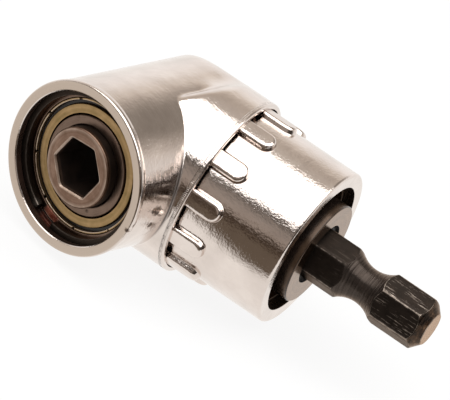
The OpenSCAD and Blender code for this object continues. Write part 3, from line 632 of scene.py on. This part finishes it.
# bearing faces that show; race is the bottom of a raceway, land the ring's bore beside it
bearing = {
    "innerBore": 5.01, "shoulder": 6.298, "raceIn": 6.04, "raceInFrom": 10.46, "raceInTo": 12.95, "raceHalf": 0.5,
    "outerR": 9.5, "outerLip": 8.42, "raceOut": 8.47, "landR": 7.98, "landFrom": 10.0, "landTo": 13.4,
    "front": 14.206, "back": 9.206, "middle": 11.706, "flatIn": 6.46, "flatOut": 7.6, "rimIn": 8.09, "rimOut": 8.38,
    "shieldFront": 14.186, "sunk": 0.12, "grooveDeep": 0.62, "sheet": 0.2, "notches": 9, "notchTurn": 4.8,
    "notchWide": 0.3, "notchDeep": 0.46,
}


def buildRings():
    b = bearing
    back, front, low, high = b["back"], b["front"], b["middle"] - b["raceHalf"], b["middle"] + b["raceHalf"]
    inner = roundedPath([
        (b["innerBore"], back, 0.2), (b["innerBore"], front, 0.22), (b["shoulder"], front, 0.2),
        (b["shoulder"], b["raceInTo"], 0.02), (b["raceIn"], high, 0.02), (b["raceIn"], low, 0.02),
        (b["shoulder"], b["raceInFrom"], 0.02), (b["shoulder"], back, 0.14)])
    # painted shade on all of the inner ring behind its front face
    shaded = fade(inner[:, 1], front - 0.25, -0.2)
    piece = lathe("headInnerRing", onHead, inner, attributes={"grime": shaded})
    settle(piece, "output_shaft", "bearing_steel", materials["ringSteel"], "output_inner_ring")
    outer = roundedPath([
        (b["outerR"], back, 0.3), (b["outerLip"], back, 0.08), (b["outerLip"], b["landFrom"], 0.05),
        (b["landR"], b["landFrom"], 0.05), (b["raceOut"], low, 0.05), (b["raceOut"], high, 0.05),
        (b["landR"], b["landTo"], 0.05), (b["outerLip"], b["landTo"], 0.08), (b["outerLip"], front, 0.08),
        (b["outerR"], front, 0.3)])
    around = np.linspace(0, fullTurn, 192, endpoint=False)
    rust = fade(outer[:, 1:], front - 0.4, 0.1) * nearGap(around)
    # painted highlight: a pale line on the outer chamfer beside the rust at the circlip's gap
    rubbedAndHighlit = rust * fade(outer[:, :1], b["outerR"] - 0.34, 0.1)
    piece = lathe("headOuterRing", onHead, outer, attributes={"rust": rust, "worn": 0.5 * rubbedAndHighlit})
    settle(piece, "housing", "bearing_steel", materials["ringSteel"], "output_outer_ring")


def buildShield():
    # pressed shield: flat ring, a groove, then a thin crimped rim that is pinched at nine places; painted shade darkens
    # the groove and the pinches, and a painted highlight runs along the rim's inner edge
    b = bearing
    front, flatOut, rimIn, rimOut = b["shieldFront"], b["flatOut"], b["rimIn"], b["rimOut"]
    level, bottom = front - b["sunk"], front - b["grooveDeep"]
    shield = roundedPath([
        (b["flatIn"], level - b["sheet"], 0.04), (b["flatIn"], level, 0.06), (flatOut, level, 0.1),
        (flatOut + 0.05, bottom, 0.08), (rimIn - 0.03, bottom, 0.08), (rimIn, front, 0.1), (rimOut, front, 0.1),
        (rimOut, bottom - 0.14, 0.04), (flatOut - b["sheet"], bottom - 0.14, 0.05),
        (flatOut - b["sheet"], level - b["sheet"], 0.05)])
    turn = np.linspace(0, fullTurn, 720, endpoint=False)
    step = fullTurn / b["notches"]
    fromNotch = np.abs((turn - math.radians(b["notchTurn"]) + step / 2) % step - step / 2) * rimOut
    pinch = fade(fromNotch, b["notchWide"] / 2 + 0.05, -0.1)
    pinched = (fade(shield[:, 0], rimIn - 0.08, 0.1) * fade(shield[:, 1], front - 0.5, 0.2))[:, None] * pinch
    points = swept(onHead, shield[:, :1], shield[:, 1:] - b["notchDeep"] * pinched, turn)
    # painted shade in the groove and the pinches
    inGroove = (shield[:, 0] > flatOut - 0.02) * fade(shield[:, 1], level - 0.06, -0.12)
    grime = np.clip(inGroove[:, None] + pinched, 0, 1)
    # painted highlight along the rim's inner edge, clear of the pinches
    rimHighlight = np.exp(-(np.hypot(shield[:, 0] - rimIn - 0.03, shield[:, 1] - front) / 0.07) ** 2)[:, None] * (1 - pinch)
    piece = addGrid("headFrontShield", points, closeRows=True, attributes={"grime": grime, "worn": 0.8 * rimHighlight})
    settle(piece, "housing", "zinc_shield", materials["zincYellow"], "output_front_shield")


buildRings()
buildShield()
print("bearing ready")

# bit spindle with its hexagonal socket, and the drive spindle whose collar holds the shank
# the last pair of each gives the painted highlight on the outer edge and in the hexagon's mouth
spindle = {"journalR": 4.0, "journalFrom": 4.73, "flangeR": 6.1, "flangeFrom": 7.21, "seatFrom": 9.206, "r": 5.0,
           "face": 15.756, "ease": 0.15, "acrossFlats": 6.45, "turn": 12.0, "cornerRound": 0.08, "bottom": 7.456,
           "mouthEase": 0.18, "centreR": 0.4, "wear": (0.36, 0.4)}
collar = {"journalR": 4.0, "journalFrom": 4.73, "tubeFrom": 8.21, "tubeR": 6.0, "stepFrom": 20.0, "stepR": 6.8,
          "collarFrom": 20.33, "r": 6.85, "face": 23.65, "ease": 0.1, "acrossFlats": 6.55, "turn": 17.6,
          "cornerRound": 0.05, "bottom": 9.25, "sinkR": 4.12, "sinkDepth": 1.2, "centreR": 0.4, "wear": (0.0, 0.0)}


def hexPierced(name, place, settings, outside, hole, grime):
    # outside rows are circles (radius, station), hole rows the hexagon grown by their first value, and rows between
    # take a growing share of the hexagon; the shade pair gives each outside row and each hole row its share of painted
    # shade
    cornerTurn = math.radians(settings["turn"])
    turn = hexTurns(cornerTurn)
    hexagon = hexRadius(turn, settings["acrossFlats"], cornerTurn, settings["cornerRound"])
    circles = np.repeat(outside[:, :1], len(turn), 1)
    holes = hexagon + hole[:, :1]
    share = np.array([0.15, 0.4, 0.65, 0.9, 0.98])[:, None]
    between = circles[-1:] * (1 - share) + holes[:1] * share
    radius = np.concatenate([circles, between, holes, np.full((1, len(turn)), settings["centreR"])])
    station = np.concatenate([outside[:, 1], np.full(len(share), outside[-1, 1]), hole[:, 1], hole[-1:, 1]])[:, None]
    darkening = np.concatenate([grime[0], np.full(len(share), grime[0][-1]), grime[1], [1.0]])
    # painted highlight near the outer edge, by a bell curve of the distance, and on the hole's eased rows
    edgeHighlight, holeHighlight = settings["wear"]
    edge = outside[-2]
    worn = edgeHighlight * np.exp(-(np.hypot(radius.mean(1) - edge[0] - 0.03, station[:, 0] - edge[1]) / 0.05) ** 2)
    worn[len(outside) + len(share):][(hole[:, 0] > 0.01).nonzero()] = holeHighlight
    return addGrid(name, swept(place, radius, station, turn), capEnds=True, attributes={"grime": darkening, "worn": worn})


def buildBitSpindle():
    s = spindle
    r, face, edge = s["r"], s["face"], s["face"] - s["ease"]
    outside = roundedPath([
        (s["centreR"], s["journalFrom"], 0), (s["journalR"], s["journalFrom"], 0.1),
        (s["journalR"], s["flangeFrom"], 0.05), (s["flangeR"], s["flangeFrom"], 0.1),
        (s["flangeR"], s["seatFrom"], 0.1), (r, s["seatFrom"], 0.05), (r, edge - 0.45, 0), (r, edge - 0.2, 0),
        (r, edge, 0.12), (r - s["ease"], face, 0.12), (r - 0.6, face, 0)], closed=False)
    hole = roundedPath([
        (s["mouthEase"] + 0.08, face, 0), (s["mouthEase"], face, 0.03), (0.0, face - s["mouthEase"], 0.05),
        (0.0, face - 0.3, 0), (0.0, face - 0.8, 0), (0.0, s["bottom"], 0.0)], steps=3, closed=False)
    # painted shade down the side behind the face and deeper into the hexagon
    grime = (fade(outside[:, 1], edge - 0.2, -0.25), fade(hole[:, 1], face - 0.3, -0.5))
    piece = hexPierced("bitSpindle", onHead, s, outside, hole, grime)
    settle(piece, "output_shaft", "spindle_steel", materials["spindleBrown"], "bit_spindle")


def buildDriveSpindle():
    c = collar
    r, face, edge, sinkR = c["r"], c["face"], c["face"] - c["ease"], c["sinkR"]
    floor = face - c["sinkDepth"]
    outside = roundedPath([
        (c["centreR"], c["journalFrom"], 0), (c["journalR"], c["journalFrom"], 0.1),
        (c["journalR"], c["tubeFrom"], 0.05), (c["tubeR"], c["tubeFrom"], 0.2), (c["tubeR"], c["stepFrom"], 0.05),
        (c["stepR"], c["stepFrom"], 0.02), (c["stepR"], c["collarFrom"], 0.0), (r, c["collarFrom"], 0.02),
        (r, edge - 0.9, 0), (r, edge - 0.6, 0), (r, edge - 0.1, 0), (r, edge, 0.06), (r - c["ease"], face, 0.06),
        (r - 0.7, face, 0), (sinkR + 0.15, face, 0), (sinkR + 0.04, face, 0.02), (sinkR, face - 0.04, 0.02),
        (sinkR, floor, 0)], closed=False)
    hole = roundedPath([(0.05, floor, 0), (0.03, floor, 0.01), (0.0, floor - 0.05, 0.01), (0.0, floor - 0.1, 0),
                        (0.0, floor - 0.3, 0), (0.0, c["bottom"], 0.0)], steps=3, closed=False)
    # painted shade: none on the face, dark on its edge and the side, black in the sink and the inside
    depth = face - outside[:, 1]
    side = np.where(depth < c["ease"] + 0.05, 0.9, 0.7 + 0.3 * fade(depth, 0.6, 0.3))
    side = np.where(depth < 0.015, 0, side)
    side = np.where((outside[:, 0] < sinkR + 0.03) & (outside[:, 1] > c["stepFrom"]), 1.0, side)
    grime = (side, fade(hole[:, 1], face - 0.1, -0.2))
    piece = hexPierced("driveSpindle", onDrive, c, outside, hole, grime)
    settle(piece, "input_shaft", "spindle_steel", materials["collarGrey"], "drive_spindle")


buildBitSpindle()
buildDriveSpindle()
print("spindles ready")

# hexagonal shank: a hexagon held under a turned outline
shank = {
    "acrossFlats": 6.35, "turn": 17.6, "from": 9.41, "end": 40.35, "groove": 30.65, "grooveD": 4.7, "grooveR": 4.0,
    "tipD": 4.24, "tipLen": 1.4, "tipEase": 0.12, "cornerRound": 0.1, "rimEase": 0.12, "coneFrom": 37.5,
    "gripFrom": 2.4, "rows": ((27.0, 14), (34.4, 110), (38.2, 10), (40.23, 44)),  # up to this station, so many rows
}


def buildShank():
    s = shank
    corner = s["acrossFlats"] / 2 / math.cos(math.pi / 6)
    starts = [s["from"]] + [end for end, count in s["rows"]]
    station = np.unique(np.concatenate([np.linspace(start, *row) for start, row in zip(starts, s["rows"])]))
    cornerTurn = math.radians(s["turn"])
    turn = hexTurns(cornerTurn, 40)
    hexagon = hexRadius(turn, s["acrossFlats"], cornerTurn, s["cornerRound"])[None, :]
    # groove: its depth plus the radius less the root of radius squared less distance squared; tip: a straight cone
    fromGroove = station - s["groove"]
    away = np.abs(fromGroove)
    groove = s["grooveD"] / 2 + s["grooveR"] - np.sqrt(np.maximum(s["grooveR"] ** 2 - away ** 2, 0.0))
    groove = np.where(away > s["grooveR"] - 0.3, 9.0, groove)
    tip = s["tipD"] / 2 + (s["end"] - station) * (corner - s["tipD"] / 2) / s["tipLen"]
    outline = np.minimum(groove, tip)[:, None]
    radius = smoothMin(np.repeat(hexagon, len(station), 0), np.repeat(outline, len(turn), 1), s["rimEase"])
    # bare steel on the corners and on the turned rims by bell curves of the distance, more of it beyond the groove
    cornerNear = np.exp(-((hexagon - corner + s["cornerRound"]) / 0.045) ** 2) * (outline > hexagon - 0.02)
    ridgeNear = np.exp(-((outline - hexagon) / 0.07) ** 2)
    beyond = fade(fromGroove[:, None], 0, 0.4)
    wear = np.clip(cornerNear * (0.82 + 0.14 * beyond) + (0.45 + 0.5 * beyond) * ridgeNear, 0, 1)
    turned = fade(hexagon - outline, 0.02, 0.05)
    cone = turned * (station > s["coneFrom"])[:, None]
    gripped = np.clip((fromGroove[:, None] - s["gripFrom"]) / 0.6, 0.12, 1) * (1 - turned) * (hexagon < corner - 0.12)
    endR, end, ease = s["tipD"] / 2, s["end"], s["tipEase"]
    ends = [(endR + 0.14, end - ease, 0), (endR, end, ease), (endR - 0.5, end, 0), (0.6, end, 0)]
    ends = roundedPath(ends, steps=5, closed=False)[1:]
    ones = np.ones((len(ends), len(turn)))
    radius = np.concatenate([radius, ends[:, :1] * ones])
    station = np.concatenate([station, ends[:, 1]])[:, None]
    piece = addGrid("hexShank", swept(onDrive, radius, station, turn), capEnds=True, attributes={
        "wear": np.concatenate([wear, np.where(ends[:, :1] > endR - 0.05, 1.0, 1.4) * ones]),
        "turned": np.concatenate([turned, ones]), "gripped": np.concatenate([gripped, 0 * ones]),
        "cone": np.concatenate([cone, ones])})
    settle(piece, "input_shaft", "black_oxide_steel", materials["blackOxide"], "hex_shank")


buildShank()
print("shank ready")

# CAD nodes that stay get their finishes
finishes = {
    "zincYellow": ["output_rear_shield", "gear_end_front_shield", "gear_end_rear_shield", "shank_end_front_shield",
                   "shank_end_rear_shield"],
    "ringSteel": ["output_balls", "socket_magnet"],
    # painted shade: the darker bearing steel copy for the rings, balls, spacer and pin inside the sleeve
    "ringSteelInShade": ["gear_end_outer_ring", "gear_end_inner_ring", "gear_end_balls", "shank_end_outer_ring",
                       "shank_end_inner_ring", "shank_end_balls", "bearing_spacer", "shank_pin"],
    "cageSteel": ["output_cage", "gear_end_cage", "shank_end_cage"],
    "gearSteel": ["output_bevel_gear", "input_bevel_gear"],
}
for key, names in finishes.items():
    for name in names:
        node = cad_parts[name]
        node.data.materials.clear()
        node.data.materials.append(materials[key])

# camera: fitted to the photograph, rolled a little, no shift
cameraSet = {"place": (0.35098, -0.53895, 0.37447), "right": (0.6543, 0.6553, 0.3775), "up": (-0.6056, 0.1551, 0.7805),
             "forward": (-0.4529, 0.7393, -0.4983), "focalPixels": 6179.0, "photoWide": 450, "sensor": 36.0}


def addCamera():
    c = cameraSet
    data = bpy.data.cameras.new("photoCamera")
    data.sensor_fit = "HORIZONTAL"
    data.sensor_width = c["sensor"]
    data.lens = c["focalPixels"] * c["sensor"] / c["photoWide"]
    data.clip_start = 0.01
    data.clip_end = 20.0
    camera = bpy.data.objects.new("photoCamera", data)
    scene.collection.objects.link(camera)
    axes = Matrix([c["right"], c["up"], [-part for part in c["forward"]]]).transposed()
    camera.matrix_world = Matrix.Translation(c["place"]) @ axes.to_4x4()
    scene.camera = camera


addCamera()

# studio: floor, softbox above and walls; a way is a direction and the span that its dot product goes through,
# and the tones of the walls run from a little below the horizon to straight up
studio = {
    "floorZ": -0.01222, "floorHalf": 6, "paper": (0.8, 0.8, 0.8, 1), "white": (1, 1, 1, 1), "whiteShare": 0.88,
    "floorAhead": ((0.95, -0.31, 0.0), (0.0175, 0.0225, 1.0, 0.0)),
    "floorBeside": ((-0.1, -0.995, 0.0), (0.0, 0.0085, 1.0, 0.0)), "floorDark": "#6c6054", "floorLit": "#fffdfa",
    "toCamera": (0.523, -0.852, 0.0), "boxHeight": 0.6, "boxNear": 0.907, "boxFar": -0.393, "boxWide": 1.3,
    "boxGlow": 2.4, "heightSpan": (-0.2, 1.0, 0, 1), "sideSpan": (-0.45, 0.35, 0, 1),
    "hollow": ((0.06, 0.74, 0.67), (0.86, 0.985, 1.12, 0.54)), "flank": ((0.966, -0.05, 0.255), (0.8, 0.95, 1.0, 0.22)),
    "behind": [(0.0, "#ffffff"), (0.166, "#fbf9f8"), (0.41, "#f6f3f0"), (0.6, "#dcd3c9"),
               (0.75, "#c0b6ab"), (0.95, "#c9c2ba")],
    "ahead": [(0.0, "#756c64"), (0.14, "#584c42"), (0.18, "#3d3128"), (0.28, "#463b32"), (0.34, "#968b82"),
              (0.43, "#a0958d"), (0.5, "#948b84"), (0.6, "#857d77"), (0.64, "#66605b"), (0.68, "#59534f"),
              (0.9, "#a8a19b")],
}


def alongWay(add, vector, way, span):
    # the vector's dot product with way, taken from the span's first range to its second
    share = add("VectorMath", {"operation": "DOT_PRODUCT", 1: way}, {0: vector}, "Value")
    return add("MapRange", span, {0: share})


def addFloor():
    # white paper to the camera; in reflections a sheet that falls dark towards the camera side
    s = studio
    half, z = s["floorHalf"], s["floorZ"]
    floorMesh = bpy.data.meshes.new("studioFloor")
    floorMesh.from_pydata([(-half, -half, z), (half, -half, z), (half, half, z), (-half, half, z)], [], [(0, 1, 2, 3)])
    floor = bpy.data.objects.new("studioFloor", floorMesh)
    scene.collection.objects.link(floor)
    material, add, coord = newMaterial("whitePaperSweep")
    paper = add("BsdfDiffuse", {"Color": s["paper"]})
    white = add("Emission", {"Color": s["white"], "Strength": 1.0})
    seen = add("MixShader", {0: s["whiteShare"]}, {1: paper, 2: white})
    near, beside = (alongWay(add, coord, *s[key]) for key in ("floorAhead", "floorBeside"))
    nearness = add("Math", {"operation": "MAXIMUM"}, {0: near, 1: beside})
    tones = {"data_type": "RGBA", 6: linearHex(s["floorDark"]), 7: linearHex(s["floorLit"])}
    tone = add("Mix", tones, {0: nearness}, 2)
    glow = add("Emission", {"Strength": 1.0}, {"Color": tone})
    rays = add("LightPath").node.outputs
    glossy = add("MixShader", {}, {0: rays["Is Glossy Ray"], 1: paper, 2: glow})
    final = add("MixShader", {}, {0: rays["Is Camera Ray"], 1: glossy, 2: seen})
    add("OutputMaterial", {}, {"Surface": final})
    floorMesh.materials.append(material)


def addSoftbox():
    # glow times pi times the area gives the lamp's watts
    s = studio
    lamp = bpy.data.lights.new("overheadSoftbox", "AREA")
    lamp.shape = "RECTANGLE"
    lamp.size = s["boxWide"] * s["boxHeight"] * 2
    lamp.size_y = (s["boxNear"] - s["boxFar"]) * s["boxHeight"]
    lamp.energy = s["boxGlow"] * math.pi * lamp.size * lamp.size_y
    box = bpy.data.objects.new("overheadSoftbox", lamp)
    scene.collection.objects.link(box)
    middle = (s["boxNear"] + s["boxFar"]) / 2 * s["boxHeight"]
    box.location = (s["toCamera"][0] * middle, s["toCamera"][1] * middle, s["boxHeight"])
    box.rotation_euler = (0, 0, math.atan2(s["toCamera"][1], s["toCamera"][0]) - math.pi / 2)
    box.visible_camera = False


def addWalls():
    # bright low behind, falling off with height, dark and warm on the camera side
    s = studio
    world = bpy.data.worlds.new("studioWalls")
    scene.world = world
    world.use_nodes = True
    world.node_tree.nodes.clear()
    add = partial(addNode, world.node_tree)
    direction = add("TexCoord", pick="Generated")
    height = add("SeparateXYZ", {}, {0: direction}, 2)
    share = add("MapRange", s["heightSpan"], {0: height})
    side = alongWay(add, direction, s["toCamera"], s["sideSpan"])
    tone = layered(add, None, [(None, share, s["behind"]), (side, share, s["ahead"])])
    hollow, flank = (alongWay(add, direction, *s[key]) for key in ("hollow", "flank"))
    strength = add("Math", {"operation": "MULTIPLY"}, {0: hollow, 1: flank})
    walls = add("Background", {}, {"Color": tone, "Strength": strength})
    page = add("Background", {"Color": s["white"], "Strength": 1.0})
    toEye = add("LightPath", pick="Is Camera Ray")
    add("OutputWorld", {}, {"Surface": add("MixShader", {}, {0: toEye, 1: walls, 2: page})})


addFloor()
addSoftbox()
addWalls()
scene.view_settings.view_transform = "Standard"
print("studio ready")
